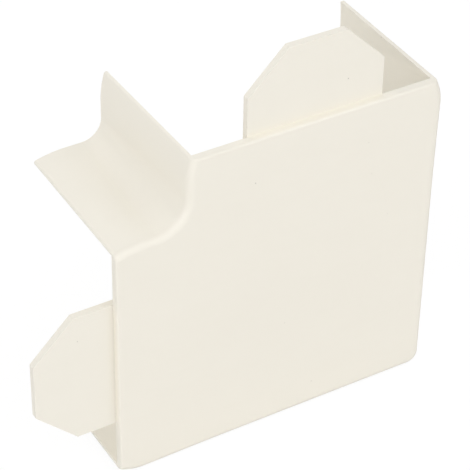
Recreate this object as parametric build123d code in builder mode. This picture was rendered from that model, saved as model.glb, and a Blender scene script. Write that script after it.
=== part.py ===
from build123d import *
from math import radians, sqrt, tan
import os

# Flat angle for wall trunking: a one-piece moulded elbow cover, in millimetres.
# It stands as pictured: +X to the right, +Y back towards the wall, +Z up, with its
# mouths open at the left and at the top. The line from the notch to the outer corner
# is a diagonal of symmetry, so each arm is the other's twin across it.

# The trunking that the elbow covers
trunking_width = 60.0
trunking_depth = 40.0
lid_thickness = 2.0
side_clearance = 0.95

# The moulded shell: its walls, the front plate as thick as the lid, and the reach of each
# arm past the notch
outer_wall = 1.2
inner_wall = 0.75
plate = lid_thickness
arm_reach = 17.8
outer_flare = 0.2
inner_flare = 0.6
outer_corner_radius = 3.2
front_notch_radius = 8.0
rear_notch_radius = 5.2
front_edge_radius = 1.8
mouth_edge_radius = 0.6

# Just behind each mouth the walls ramp out to a swelling, most at the front. The outer
# walls are proudest there and settle back by their crown farther on. A ramp is as long
# at the front as at the back, measured along it. The blends are what is rounded off on
# either side of a corner.
outer_front_swell = 1.7
outer_rear_swell = 0.3
outer_front_crown = 0.35
outer_rear_crown = 0.1
outer_ramp_length = 4.4
outer_ramp_blend = 2.6
settle_length = 24.0
settle_blend = 8.0
inner_front_swell = 1.2
inner_rear_swell = 1.1
inner_ramp_length = 4.6
inner_ramp_blend = 3.4

# The flat tab that stands out of each mouth under the trunking's lid
tab_width = 35.0
tab_length = 19.9
tab_thickness = 1.75
tab_corner = 10.1
tab_lap = 5.0
tab_from_side = 31.85

# What follows from them
mouth_width = outer_wall + side_clearance + trunking_width + side_clearance + inner_wall
arm_length = outer_front_swell + mouth_width + inner_front_swell + arm_reach
depth = trunking_depth
tab_centre = outer_front_swell + tab_from_side
past_the_end = 5.0


def upright(y):
    """The plane y behind the front face, with x from the left mouth and z upwards."""
    return Plane(origin=(0, y - depth / 2, 0), x_dir=(1, 0, 0), z_dir=(0, -1, 0))


def twin(point):
    """The same point on the other arm, across the diagonal."""
    x, z = point
    return (arm_length - z, arm_length - x)


def rounded_outline(plane, corners):
    """A closed outline; each corner comes with its blend, the length rounded off beside it."""
    points = [Vector(*point) for point, blend in corners]
    sides = [after - here for here, after in zip(points, points[1:] + points[:1])]
    with BuildSketch(plane) as outline:
        with BuildLine():
            Polyline(*points, close=True)
        make_face()
        for index, (point, blend) in enumerate(corners):
            if blend:
                turn = radians(sides[index - 1].get_angle(sides[index]))
                corner = outline.vertices().sort_by_distance(points[index])[0]
                fillet(corner, blend / tan(turn / 2))
    return outline.sketch


def elbow_outline(y, outer_inset=0.0, inner_inset=0.0, reach=0.0):
    """The elbow's outline y behind the front face, or set into its walls by the insets.

    Its two ends stand out by reach past the open mouths.
    """
    share = y / depth
    swell = outer_front_swell + (outer_rear_swell - outer_front_swell) * share
    crown = outer_front_crown + (outer_rear_crown - outer_front_crown) * share
    inner_swell = inner_front_swell + (inner_rear_swell - inner_front_swell) * share
    notch_radius = front_notch_radius + (rear_notch_radius - front_notch_radius) * share
    outer_ramp = sqrt(outer_ramp_length**2 - swell**2)
    inner_ramp = sqrt(inner_ramp_length**2 - inner_swell**2)
    foot = outer_front_swell - outer_flare * share + outer_inset
    lip = outer_front_swell + mouth_width + inner_flare * share - inner_inset
    bottom = foot - swell + crown
    crest = lip + inner_swell
    left_arm = [
        ((settle_length, bottom), settle_blend),
        ((outer_ramp, foot - swell), outer_ramp_blend),
        ((-reach, foot + swell * reach / outer_ramp), 0),
        ((-reach, lip - inner_swell * reach / inner_ramp), 0),
        ((inner_ramp, crest), inner_ramp_blend),
    ]
    top_arm = [(twin(point), blend) for point, blend in reversed(left_arm)]
    outer_corner = ((arm_length - bottom, bottom), outer_corner_radius - outer_inset)
    notch_corner = ((arm_length - crest, crest), notch_radius + inner_inset)
    return rounded_outline(upright(y), [outer_corner, *left_arm, notch_corner, *top_arm])


tab_low = tab_centre - tab_width / 2
tab_high = tab_centre + tab_width / 2
tab_points = [
    (tab_lap, tab_low),
    (tab_corner - tab_length, tab_low),
    (-tab_length, tab_low + tab_corner),
    (-tab_length, tab_high - tab_corner),
    (tab_corner - tab_length, tab_high),
    (tab_lap, tab_high),
]

with BuildPart() as elbow:
    # The outer form, from the front face to the rim that meets the wall
    loft(sections=[elbow_outline(0), elbow_outline(depth)], ruled=True)

    # Rounded front edges all round, but for the two mouths
    front_edges = elbow.faces().sort_by(Axis.Y)[0].edges()
    mouth_edges = front_edges.sort_by(Axis.X)[:1] + front_edges.sort_by(Axis.Z)[-1:]
    fillet(front_edges - mouth_edges, front_edge_radius)

    # The mouths' outer edges are only just broken, along the front and on round the walls
    left_end = elbow.faces().filter_by(Axis.X).sort_by(Axis.X)[:1]
    top_end = elbow.faces().filter_by(Axis.Z).sort_by(Axis.Z)[-1:]
    rounding_end = front_edge_radius - depth / 2
    ends = (left_end + top_end).edges()
    fillet(ends.filter_by(lambda edge: edge.center().Y < rounding_end), mouth_edge_radius)

    # The room for the trunking, open at the back and through both mouths
    room = [elbow_outline(y, outer_wall, inner_wall, past_the_end) for y in (plate, depth)]
    loft(sections=room, ruled=True, mode=Mode.SUBTRACT)

    # A flat tab with two cut corners stands out behind the plate at each mouth
    with BuildSketch(upright(plate)):
        Polygon(*tab_points, align=None)
        Polygon(*[twin(point) for point in reversed(tab_points)], align=None)
    extrude(amount=-tab_thickness)

# It stands on its lowest line, with the middle of its box over the origin
box = elbow.part.bounding_box()
with BuildPart() as flat_angle:
    add(Pos(-box.center().X, -box.center().Y, -box.min.Z) * elbow.part)

flat_angle.part.label = "flat_angle"
os.makedirs("parts", exist_ok=True)
export_step(flat_angle.part, "parts/flat_angle.step")
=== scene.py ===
from math import cos, radians, sin

import bpy
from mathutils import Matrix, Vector

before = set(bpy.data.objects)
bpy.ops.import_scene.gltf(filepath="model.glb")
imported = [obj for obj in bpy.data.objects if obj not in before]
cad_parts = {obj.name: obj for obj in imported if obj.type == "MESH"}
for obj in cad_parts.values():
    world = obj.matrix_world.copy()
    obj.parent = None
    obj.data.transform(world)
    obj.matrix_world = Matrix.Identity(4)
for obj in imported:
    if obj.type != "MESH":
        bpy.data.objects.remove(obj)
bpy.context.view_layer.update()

# A moulded corner cover for wall trunking, standing on a white studio floor.
# Metres, +Z up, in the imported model's own frame: the cover stands on z = 0 with its
# front face towards -Y, one mouth open towards -X and one towards +Z.

COVER = "flat_angle"
MM = 0.001

# Screen colours, 0 to 255: the two tones of the cream, the cream where it is rubbed, and the
# dark of the dirt specks and of the painted shade in the left tab's corner
CREAM = (240.9, 236.2, 224.4)
PALER_CREAM = (242.3, 237.8, 226.4)
RUBBED_CREAM = (245, 242, 232)
DIRT_AND_SHADE = (70, 58, 46)

# The moulded skin: its gloss, its relief and how wide its rims are rubbed
ROUGHNESS = (0.4, 0.5)
SPECULAR = 0.3
RELIEF = 0.02 * MM
RELIEF_STRENGTH = 0.25
RIM_WIDTH = 0.15 * MM

# Dark specks that the moulding picked up: place in millimetres, then darkness from 0 to 1
SPECKS = [
    ((2.5, -20.0, 73.0), 0.40),
    ((19.8, -20.0, 7.5), 0.26),
    ((11.5, -20.0, 29.3), 0.18),
    ((32.1, -20.0, 73.8), 0.13),
    ((33.5, -20.0, 64.7), 0.10),
    ((38.8, -20.0, 51.3), 0.10),
    ((26.9, -18.0, 91.5), 0.45),
    ((-41.2, -18.0, 44.1), 0.27),
    ((-32.4, -18.0, 31.3), 0.16),
    ((49.6, 2.4, 84.0), 0.45),
]
SPECK_RADIUS = 0.2 * MM

# The corner between the left tab and its mouth, darkened with painted shade: its middle, half
# its length, how far the painted shade spreads and how dark it is, from 0 to 1
CORNER_MIDDLE = Vector((-32.28, -18.0, 33.5)) * MM
CORNER_HALF = Vector((0, 0, 17.3)) * MM
SHADE_SPREAD = 0.4 * MM
SHADE_DARKNESS = 0.09

# What the camera sees as white, and the floor: its size, how far it lies under the cover,
# its paint, and the share of it that is plain white to the camera. The rest takes shadow.
WHITE = 1.06
FLOOR_SIZE = 6
FLOOR_DROP = 0.1 * MM
FLOOR_PAINT = (0.8, 0.8, 0.8, 1)
FLOOR_WHITENESS = 0.85

# The soft bright parts of the studio: degrees from the front towards the right, degrees
# above the floor, then strength. The strongest is the lit backdrop behind the cover. The
# softness is a power: the higher it is, the smaller each part. The room has a dim light.
SOFT_PARTS = [
    (180, 15, 3.21),
    (135, 15, 0.54),
    (90, 15, 0.3),
    (45, 50, 1.21),
    (30, 15, 1.06),
    (-60, 15, 2.04),
]
SOFTNESS = 8
ROOM_LIGHT = 0.1

# The softboxes, square and turned to the cover: place in metres, then power in watts
SOFTBOXES = {
    "key_softbox": ((-0.5, -0.9, 0.9), 2.58),
    "front_softbox": ((0, -0.8, 1.1), 1.65),
    "left_softbox": ((-0.9, 0, 1.0), 2.3),
}
SOFTBOX_SIZE = 0.9
COVER_MIDDLE = Vector((0, 0, 0.05))

# The camera, fitted to the cover's straight edges: film width and lens in millimetres,
# place in metres, turn in degrees, and the nearest that it sees in metres
FILM_WIDTH = 36
LENS = 156.422
CAMERA_PLACE = (-0.187158, -0.32803, 0.337395)
CAMERA_TURN = (52.3672, -0.8638, -30.2723)
NEAREST_SEEN = 0.01

# The sockets of a Mix node that mixes colours
MIX_SHARE, MIX_UNDER, MIX_OVER, MIX_RESULT = 0, 6, 7, 2


def linear(red, green, blue):
    """A screen colour, 0 to 255, as the linear colour that a shader takes."""
    shares = [value / 255 for value in (red, green, blue)]
    return [((s + 0.055) / 1.055) ** 2.4 if s > 0.04045 else s / 12.92 for s in shares] + [1.0]


def add_node(tree, kind, inputs=None, **settings):
    """A node of the kind, its settings and then its inputs set; a socket given is wired."""
    node = tree.nodes.new("ShaderNode" + kind)
    for name, value in settings.items():
        setattr(node, name, value)
    for name, value in (inputs or {}).items():
        if isinstance(value, bpy.types.NodeSocket):
            tree.links.new(value, node.inputs[name])
        else:
            node.inputs[name].default_value = value
    return node


def new_group(name, takes, gives):
    """An empty node group: the tree, the sockets that it takes and those that it gives."""
    group = bpy.data.node_groups.new(name, "ShaderNodeTree")
    for title, kind in takes:
        group.interface.new_socket(title, in_out="INPUT", socket_type="NodeSocket" + kind)
    for title, kind in gives:
        group.interface.new_socket(title, in_out="OUTPUT", socket_type="NodeSocket" + kind)
    entry = group.nodes.new("NodeGroupInput")
    result = group.nodes.new("NodeGroupOutput")
    return group, entry.outputs, result.inputs


def use_group(tree, group, inputs):
    """The outputs of the group, placed in the tree with its inputs set."""
    return add_node(tree, "Group", inputs, node_tree=group).outputs


def noise(tree, place, scale, detail, rough=0.5):
    """Noise at so many waves a metre, from about 0 to 1."""
    inputs = {"Vector": place, "Scale": scale, "Detail": detail, "Roughness": rough}
    return add_node(tree, "TexNoise", inputs).outputs["Fac"]


def to_range(tree, value, before, after):
    """The value, carried from the range before to the range after and kept within it."""
    inputs = {
        "Value": value,
        "From Min": before[0],
        "From Max": before[1],
        "To Min": after[0],
        "To Max": after[1],
    }
    return add_node(tree, "MapRange", inputs).outputs["Result"]


def work_out(tree, operation, first, second):
    """The result of an operation on two numbers."""
    return add_node(tree, "Math", {0: first, 1: second}, operation=operation).outputs[0]


def blend(tree, first, first_share, second, second_share):
    """Two values added up, each by its share."""
    first_part = work_out(tree, "MULTIPLY", first, first_share)
    second_part = work_out(tree, "MULTIPLY", second, second_share)
    return work_out(tree, "ADD", first_part, second_part)


def vector_step(tree, operation, *vectors):
    """The node for an operation on one or two vectors."""
    return add_node(tree, "VectorMath", dict(enumerate(vectors)), operation=operation)


def mix_colours(tree, share, under, over):
    """The colour under, with the share of the colour over laid on it."""
    inputs = {MIX_SHARE: share, MIX_UNDER: under, MIX_OVER: over}
    return add_node(tree, "Mix", inputs, data_type="RGBA").outputs[MIX_RESULT]


def mould_finish():
    """The skin that a polished but used mould leaves: grain, waves, flow streaks."""
    finish = [("Height", "Float"), ("Tone", "Float"), ("Dullness", "Float")]
    group, takes, gives = new_group("mould_finish", [("Place", "Vector")], finish)
    place = takes["Place"]
    grain = noise(group, place, scale=2600, detail=3, rough=0.6)
    waves = noise(group, place, scale=60, detail=2)
    cloud = noise(group, place, scale=38, detail=4, rough=0.6)

    # The flow streaks are long sideways, and the turn takes them off the noise's own grid
    flow = {"Vector": place, "Rotation": (0, radians(45), 0), "Scale": (0.12, 1, 1)}
    along = add_node(group, "Mapping", flow).outputs["Vector"]
    streaks = noise(group, along, scale=420, detail=4, rough=0.65)

    height = work_out(group, "ADD", work_out(group, "MULTIPLY", grain, 0.35), waves)
    group.links.new(height, gives["Height"])
    tone = blend(group, cloud, 0.6, streaks, 0.4)
    group.links.new(to_range(group, tone, (0.25, 0.75), (0, 1)), gives["Tone"])
    dullness = blend(group, grain, 0.5, cloud, 0.5)
    group.links.new(to_range(group, dullness, (0.25, 0.75), (0, 1)), gives["Dullness"])
    return group


def dark_specks():
    """A mask of the specks, by their distance from the point that is shaded."""
    group, takes, gives = new_group("dark_specks", [("Place", "Vector")], [("Mask", "Float")])
    clean_to_dark = (SPECK_RADIUS, 0.4 * SPECK_RADIUS)
    mask = 0.0
    for place, darkness in SPECKS:
        away = vector_step(group, "DISTANCE", takes["Place"], Vector(place) * MM)
        speck = to_range(group, away.outputs["Value"], clean_to_dark, (0, darkness))
        mask = work_out(group, "MAXIMUM", mask, speck)
    group.links.new(mask, gives["Mask"])
    return group


def painted_corner_shade():
    """A mask of the shade painted along the left tab's corner, by the distance from the corner's
    line.
    """
    group, takes, gives = new_group("painted_corner_shade", [("Place", "Vector")], [("Mask", "Float")])
    from_middle = vector_step(group, "SUBTRACT", takes["Place"], CORNER_MIDDLE).outputs[0]
    each_way = vector_step(group, "ABSOLUTE", from_middle).outputs[0]
    past_ends = vector_step(group, "SUBTRACT", each_way, CORNER_HALF).outputs[0]
    from_line = vector_step(group, "MAXIMUM", past_ends, (0, 0, 0)).outputs[0]
    away = vector_step(group, "LENGTH", from_line).outputs["Value"]
    clean_to_dark = (SHADE_SPREAD, 0.1 * SHADE_SPREAD)
    # This mask is painted shade, darkest on the corner's line and fading over the spread.
    corner_shade = to_range(group, away, clean_to_dark, (0, SHADE_DARKNESS))
    uneven = noise(group, takes["Place"], scale=300, detail=3)
    patches = to_range(group, uneven, (0.35, 0.65), (0.7, 1))
    group.links.new(work_out(group, "MULTIPLY", corner_shade, patches), gives["Mask"])
    return group


def rubbed_edges():
    """A mask of the sharp rims, where handling has polished the skin."""
    needed = [("Place", "Vector"), ("Rounded Normal", "Vector")]
    group, takes, gives = new_group("rubbed_edges", needed, [("Mask", "Float")])
    flat = add_node(group, "NewGeometry").outputs["Normal"]
    along = vector_step(group, "DOT_PRODUCT", flat, takes["Rounded Normal"]).outputs["Value"]
    flat_to_edge = (0.995, 0.8)
    edge = to_range(group, along, flat_to_edge, (0, 1))
    uneven = noise(group, takes["Place"], scale=240, detail=3)
    patches = to_range(group, uneven, (0.35, 0.65), (0.4, 1))
    group.links.new(work_out(group, "MULTIPLY", edge, patches), gives["Mask"])
    return group


def cream_pvc():
    """Satin cream PVC, as it leaves the mould and is then handled."""
    material = bpy.data.materials.new("cream_pvc")
    material.use_nodes = True
    tree = material.node_tree
    shader = tree.nodes["Principled BSDF"]
    place = add_node(tree, "TexCoord").outputs["Object"]
    rounded = add_node(tree, "Bevel", {"Radius": RIM_WIDTH}, samples=6).outputs["Normal"]
    finish = use_group(tree, mould_finish(), {"Place": place})
    specks = use_group(tree, dark_specks(), {"Place": place})["Mask"]
    # The dark line along the left tab's corner is painted shade.
    corner_shade = use_group(tree, painted_corner_shade(), {"Place": place})["Mask"]
    rubbed = use_group(tree, rubbed_edges(), {"Place": place, "Rounded Normal": rounded})["Mask"]

    body = mix_colours(tree, finish["Tone"], linear(*CREAM), linear(*PALER_CREAM))
    handled = mix_colours(tree, rubbed, body, linear(*RUBBED_CREAM))
    # The dirt specks and the painted corner shade darken the cream with one colour.
    specks_and_shade = work_out(tree, "MAXIMUM", specks, corner_shade)
    colour = mix_colours(tree, specks_and_shade, handled, linear(*DIRT_AND_SHADE))
    tree.links.new(colour, shader.inputs["Base Color"])

    roughness = to_range(tree, finish["Dullness"], (0, 1), ROUGHNESS)
    tree.links.new(roughness, shader.inputs["Roughness"])
    skin = {"Height": finish["Height"], "Strength": RELIEF_STRENGTH, "Distance": RELIEF}
    tree.links.new(add_node(tree, "Bump", skin).outputs["Normal"], shader.inputs["Normal"])
    shader.inputs["Specular IOR Level"].default_value = SPECULAR
    return material


def white_floor():
    """A floor that reads white to the camera and keeps a faint shadow."""
    material = bpy.data.materials.new("white_floor")
    material.use_nodes = True
    tree = material.node_tree
    tree.nodes.clear()
    paint = add_node(tree, "BsdfDiffuse", {"Color": FLOOR_PAINT}).outputs[0]
    white = add_node(tree, "Emission", {"Strength": WHITE}).outputs[0]
    seen = add_node(tree, "LightPath").outputs["Is Camera Ray"]
    share = work_out(tree, "MULTIPLY", seen, FLOOR_WHITENESS)
    surface = add_node(tree, "MixShader", {0: share, 1: paint, 2: white}).outputs[0]
    add_node(tree, "OutputMaterial", {"Surface": surface})
    return material


def floor():
    """The sheet that the cover stands on, far wider than the picture."""
    bpy.ops.mesh.primitive_plane_add(size=FLOOR_SIZE, location=(0, 0, -FLOOR_DROP))
    sheet = bpy.context.object
    sheet.name = "floor"
    sheet.data.materials.append(white_floor())


def soft_part(tree, direction, turn, height, strength):
    """The light of one soft part of the studio, brightest at its middle."""
    around, above = radians(turn), radians(height)
    middle = (sin(around) * cos(above), -cos(around) * cos(above), sin(above))
    nearness = vector_step(tree, "DOT_PRODUCT", direction, middle).outputs["Value"]
    facing = work_out(tree, "MAXIMUM", nearness, 0.0)
    return work_out(tree, "MULTIPLY", work_out(tree, "POWER", facing, SOFTNESS), strength)


def studio_light():
    """A dim room with soft bright parts, which the camera sees as plain white."""
    world = bpy.data.worlds.new("studio")
    bpy.context.scene.world = world
    world.use_nodes = True
    tree = world.node_tree
    room = tree.nodes["Background"]
    room.inputs["Color"].default_value = (1, 1, 1, 1)
    coordinate = add_node(tree, "TexCoord").outputs["Generated"]
    direction = vector_step(tree, "NORMALIZE", coordinate).outputs[0]
    total = ROOM_LIGHT
    for turn, height, strength in SOFT_PARTS:
        total = work_out(tree, "ADD", soft_part(tree, direction, turn, height, strength), total)
    tree.links.new(total, room.inputs["Strength"])
    white = add_node(tree, "Background", {"Strength": WHITE}).outputs[0]
    seen = add_node(tree, "LightPath").outputs["Is Camera Ray"]
    surface = add_node(tree, "MixShader", {0: seen, 1: room.outputs[0], 2: white}).outputs[0]
    tree.links.new(surface, tree.nodes["World Output"].inputs["Surface"])


def softbox(name, place, power):
    """A square lamp at the place, turned to the cover."""
    data = bpy.data.lights.new(name, "AREA")
    data.size = SOFTBOX_SIZE
    data.energy = power
    lamp = bpy.data.objects.new(name, data)
    lamp.location = place
    towards = COVER_MIDDLE - lamp.location
    lamp.rotation_euler = towards.to_track_quat("-Z", "Y").to_euler()
    bpy.context.scene.collection.objects.link(lamp)


def camera():
    """The viewpoint of the picture."""
    data = bpy.data.cameras.new("camera")
    data.sensor_width = FILM_WIDTH
    data.lens = LENS
    data.clip_start = NEAREST_SEEN
    viewpoint = bpy.data.objects.new("camera", data)
    viewpoint.location = CAMERA_PLACE
    viewpoint.rotation_euler = [radians(angle) for angle in CAMERA_TURN]
    bpy.context.scene.collection.objects.link(viewpoint)
    bpy.context.scene.camera = viewpoint


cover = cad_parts[COVER]
for slot in cover.material_slots:
    slot.material = cream_pvc()

floor()
studio_light()
for name, (place, power) in SOFTBOXES.items():
    softbox(name, place, power)
camera()
bpy.context.scene.view_settings.view_transform = "Standard"
